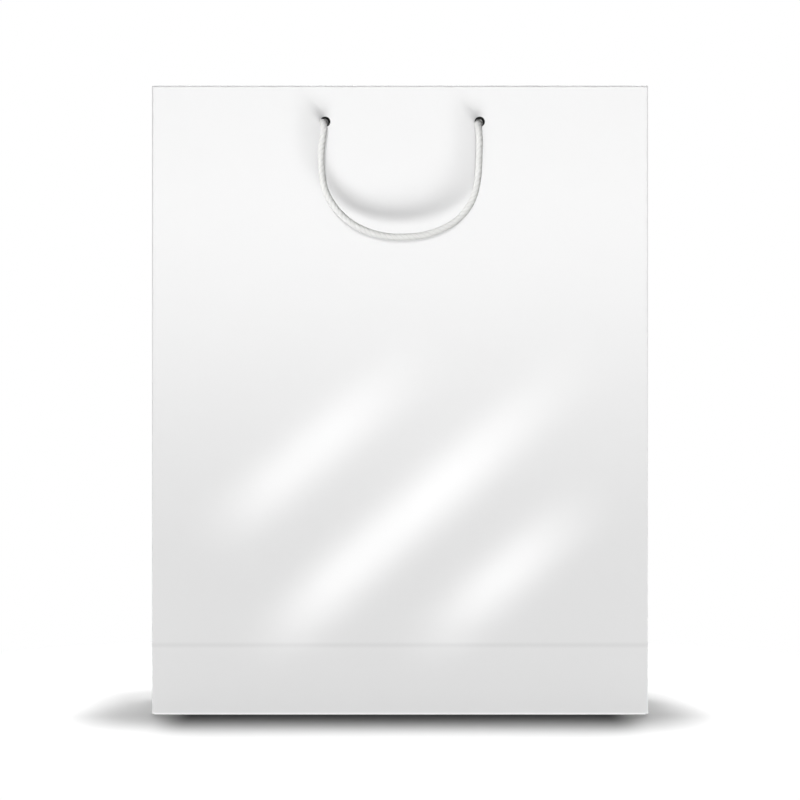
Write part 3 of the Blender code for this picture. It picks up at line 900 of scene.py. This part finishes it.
def floor_material(colour, bag):
    """A matte white sweep: close to the bag it is painted darker, a painted contact shadow on top of the real
    one from the lamps, and white away from it.
    """
    material = bpy.data.materials.new("white_sweep_painted_shadow")
    tree = bare_tree(material)
    place = add_node(tree, "ShaderNodeTexCoord").outputs["Object"]
    place = add_node(tree, "ShaderNodeSeparateXYZ", {0: place}).outputs
    across, deep = place["X"], place["Y"]
    # Distance from the bag's footprint, with the painted shadow a little to the left and longer in front than
    # aside
    aside = add_node(tree, "ShaderNodeMath", {"operation": "ADD", 0: across, 1: 0.007})
    away = []
    for spot, half, share in ((aside, bag.width / 2, 1.0), (deep, bag.depth / 2, 0.65)):
        size = add_node(tree, "ShaderNodeMath", {"operation": "ABSOLUTE", 0: spot})
        out = add_node(tree, "ShaderNodeMath", {"operation": "SUBTRACT", 0: size, 1: half})
        least = add_node(tree, "ShaderNodeMath", {"operation": "MAXIMUM", 0: out, 1: 0.0})
        away.append(add_node(tree, "ShaderNodeMath", {"operation": "MULTIPLY", 0: least, 1: share}))
    spot = add_node(tree, "ShaderNodeCombineXYZ", {0: away[0], 1: away[1]})
    reach = add_node(tree, "ShaderNodeVectorMath", {"operation": "LENGTH", 0: spot}).outputs["Value"]
    # Beside and behind the bag: a light painted contact shadow
    beside = add_node(
        tree,
        "ShaderNodeMapRange",
        {**SMOOTH, "From Min": 0.008, "From Max": 0.05, "To Min": 0.64, "Value": reach},
    )
    # In front of it: a deep painted one, where the panel hides the overhead lamp
    out = add_node(tree, "ShaderNodeMapRange", {"From Max": 0.065, "Value": reach})
    before = add_node(tree, "ShaderNodeValToRGB", {0: out})
    ramp = before.color_ramp
    ramp.interpolation = "B_SPLINE"
    for at, grey in ((0.0, 0.07), (0.14, 0.16), (0.3, 0.32), (0.5, 0.64), (0.7, 0.93), (0.92, 1.0)):
        stop = ramp.elements[0] if at == 0.0 else ramp.elements.new(at)
        stop.color = (grey, grey, grey, 1.0)
    ramp.elements[len(ramp.elements) - 1].color = (1.0, 1.0, 1.0, 1.0)
    front, end = -bag.depth / 2, bag.width / 2 - 0.002
    in_front = add_node(
        tree, "ShaderNodeMapRange", {"From Min": front + 0.002, "From Max": front, "Value": deep}
    )
    off_axis = add_node(tree, "ShaderNodeMath", {"operation": "ABSOLUTE", 0: across})
    within = add_node(
        tree,
        "ShaderNodeMapRange",
        {**SMOOTH, "From Min": end - 0.02, "From Max": end, "To Min": 1.0, "To Max": 0.0, "Value": off_axis},
    )
    frontness = add_node(tree, "ShaderNodeMath", {"operation": "MULTIPLY", 0: in_front, 1: within})
    near = add_node(
        tree, "ShaderNodeMix", {"data_type": "FLOAT", "Factor": frontness, "A": beside, "B": before}
    ).outputs["Result"]
    seen = seen_rays(tree)
    # The floor's colour, darkened by the painted contact shadow, for the rays that see it
    painted_shadow_floor = add_node(tree, "ShaderNodeVectorMath", {"operation": "SCALE", 0: colour, "Scale": near})
    # Rays that only light the bag meet a darker floor, so that it throws little light back up
    base = add_node(
        tree, "ShaderNodeMix", {"data_type": "RGBA", "A": (0.22, 0.22, 0.22, 1.0), "Factor": seen, "B": painted_shadow_floor}
    )
    matte = add_node(tree, "ShaderNodeBsdfDiffuse", {"Color": base.outputs["Result"]})
    far = add_node(tree, "ShaderNodeMapRange", {**SMOOTH, "From Min": 0.08, "From Max": 0.2, "Value": reach})
    plain = add_node(tree, "ShaderNodeMath", {"operation": "MULTIPLY", 0: far, 1: seen})
    white = add_node(tree, "ShaderNodeEmission", {"Strength": 1.0})
    out = add_node(tree, "ShaderNodeMixShader", {0: plain, 1: matte, 2: white})
    add_node(tree, "ShaderNodeOutputMaterial", {"Surface": out})
    return material


# Soft diagonal reflections in the front panel, as the camera sees them there: the lower and upper end in
# millimetres from the panel's middle and from the floor, the full width, the strength, and the share of the
# length over which it rises.
STREAKS = (
    (-108.0, 85.0, 26.0, 199.0, 45.0, 4.7, 0.34),
    (-84.0, 25.0, 110.0, 198.0, 45.0, 6.4, 0.28),
    (-2.0, 25.0, 112.0, 123.0, 43.0, 6.1, 0.47),
)


class PAPERBAG_OT_studio(Operator):
    """Sets up the camera, the white floor, the lamps and the softboxes"""

    bl_idname = "paperbag.studio"
    bl_label = "Studio"

    def execute(self, context):
        scene, studio, bag = context.scene, context.scene.bag_studio, context.scene.bag_sizes
        scene.view_settings.view_transform = "Standard"
        front = -bag.depth / 2
        data = bpy.data.cameras.new("camera")
        data.sensor_width = 36.0
        data.lens = 36.0 * studio.distance / studio.view_width
        camera = bpy.data.objects.new("camera", data)
        scene.collection.objects.link(camera)
        camera.location = (0.0, front - studio.distance, studio.eye)
        camera.rotation_euler = (math.pi / 2, 0.0, 0.0)
        scene.camera = camera

        half = 6.0
        floor = stage_piece(
            "floor",
            quad_mesh("floor", ((-half, -half, 0), (half, -half, 0), (half, half, 0), (-half, half, 0))),
            floor_material(tuple(scene.bag_colours.floor), bag),
        )
        floor.visible_shadow = False
        floor.visible_glossy = False

        scene.world = bpy.data.worlds.new("white studio")
        tree = bare_tree(scene.world)
        seen = seen_rays(tree)
        level = add_node(tree, "ShaderNodeMapRange", {"To Min": studio.fill, "Value": seen})
        sky = add_node(tree, "ShaderNodeBackground", {"Color": (1, 1, 1, 1), "Strength": level})
        add_node(tree, "ShaderNodeOutputWorld", {"Surface": sky})

        # The key: wide, a little to the right and far below the floor, which throws no shadow, so that the
        # cord's shadow falls upwards and to the left on the panel
        aim = Vector((0.0, front, 0.2))
        key = Vector((0.200, -0.562, -0.803)) * studio.key_distance
        size = studio.key_distance * studio.key_size
        key_lamp = area_lamp("key lamp", aim + key, aim, size, 0.38 * size, studio.key)
        # From the left and a little in front: it rounds the cord and lights the left gusset
        area_lamp("left lamp", (-3.0, front - 1.0, 0.5), (0.0, front, 0.2), 2.4, 2.4, studio.left)
        # Overhead, behind the front panel's plane: the floor's white and its contact shadow
        above = Vector((0.0, front + 0.57, 4.0))
        top_lamp = area_lamp("top lamp", above, (above.x, above.y, 0.0), 1.1, 1.14, studio.top)
        # Behind: the back panel
        area_lamp("back lamp", (0.0, 3.0, 1.2), (0.0, 0.0, 0.15), 3.0, 2.0, studio.back)

        # The photo's cord is lit evenly from the front and the left, unlike the panel that bears its shadow.
        # So the front cord has a lamp of its own, and no light from the key and from overhead. Its knots
        # have none from overhead, so that both holes look dark beside the cord.
        aside = aim + Vector((-1.05, -2.7, -0.1))
        cord_lamp = area_lamp("cord lamp", aside, aim, 1.2, 1.2, studio.cord)
        handle = scene.objects["front_twisted_handle"]
        knots = [scene.objects[f"front_{side}_pulled_knot"] for side in ("left", "right")]
        link_light(key_lamp, [handle], "EXCLUDE")
        link_light(top_lamp, [handle, *knots], "EXCLUDE")
        link_light(cord_lamp, [handle], "INCLUDE")
        # Nor does the panel behind it brighten from it
        handle.visible_diffuse = False

        self.softboxes(studio, front)
        return {"FINISHED"}

    def softboxes(self, studio, front):
        """Cards that only reflections see, at one metre in front of the panel and round the bag."""
        ahead = 1.0
        grow = (studio.distance + ahead) / studio.distance

        def mirrored(x, z, nearer=0.0):
            """Where a card stands that the camera sees at this spot of the panel, given in millimetres."""
            height = studio.eye + (z / 1000 - studio.eye) * grow
            return Vector((x / 1000 * grow, front - ahead + nearer, height))

        graded = light_card_material("graded softbox", studio.graded, (0.12, 0.12), (0.62, 0.02))
        half, low, high = 190, 60, 420
        corners = (mirrored(-half, low), mirrored(half, low), mirrored(half, high), mirrored(-half, high))
        reflected_only(stage_piece("graded_softbox", quad_mesh("graded softbox", corners), graded))
        for number, (x0, z0, x1, z1, wide, strength, rise) in enumerate(STREAKS):
            start, finish = mirrored(x0, z0, 0.01), mirrored(x1, z1, 0.01)
            run = (finish - start).normalized()
            side = Vector((-run.z, 0.0, run.x)) * (wide / 2000 * grow)
            corners = (start - side, start + side, finish + side, finish - side)
            cloth = light_card_material(f"strip softbox {number}", strength, (0.5, 0.5), (rise, 0.5))
            reflected_only(stage_piece(f"strip_softbox_{number}", quad_mesh("strip", corners), cloth))
        wide, far, low, high = 0.8, 1.6, -1.3, 0.7
        for azimuth in range(50, 321, 45):
            turn = math.radians(azimuth)
            away = Vector((math.sin(turn), -math.cos(turn), 0.0)) * far
            side = Vector((math.cos(turn), math.sin(turn), 0.0)) * wide / 2
            foot, head = away + Vector((0, 0, low)), away + Vector((0, 0, high))
            corners = (foot - side, foot + side, head + side, head - side)
            cloth = light_card_material(f"soft card {azimuth}", studio.ring, (0.5, 0.5), (0.4, 0.5))
            reflected_only(stage_piece(f"soft_card_{azimuth}", quad_mesh("soft card", corners), cloth))


class PAPERBAG_PT_panel(Panel):
    bl_idname = "PAPERBAG_PT_panel"
    bl_label = "Paper carrier bag"
    bl_space_type = "VIEW_3D"
    bl_region_type = "UI"
    bl_category = "Paper bag"

    def draw(self, context):
        for group, _ in GROUPS:
            settings = getattr(context.scene, group)
            box = self.layout.box()
            for name in settings.bl_rna.properties.keys():
                if name not in ("rna_type", "name"):
                    box.prop(settings, name)
        for operator in OPERATORS:
            self.layout.operator(operator.bl_idname)


OPERATORS = (PAPERBAG_OT_cords, PAPERBAG_OT_sheet, PAPERBAG_OT_boards, PAPERBAG_OT_studio)
CLASSES = (BagSizes, CordSizes, Colours, Studio, *OPERATORS, PAPERBAG_PT_panel)
GROUPS = (
    ("bag_sizes", BagSizes),
    ("cord_sizes", CordSizes),
    ("bag_colours", Colours),
    ("bag_studio", Studio),
)


def register():
    for made in CLASSES:
        bpy.utils.register_class(made)
    for name, group in GROUPS:
        setattr(bpy.types.Scene, name, PointerProperty(type=group))


def unregister():
    for name, _ in GROUPS:
        delattr(bpy.types.Scene, name)
    for made in reversed(CLASSES):
        bpy.utils.unregister_class(made)


def main():
    register()
    bpy.ops.paperbag.cords()
    bpy.ops.paperbag.sheet()
    bpy.ops.paperbag.boards()
    bpy.ops.paperbag.studio()


if __name__ == "__main__":
    main()
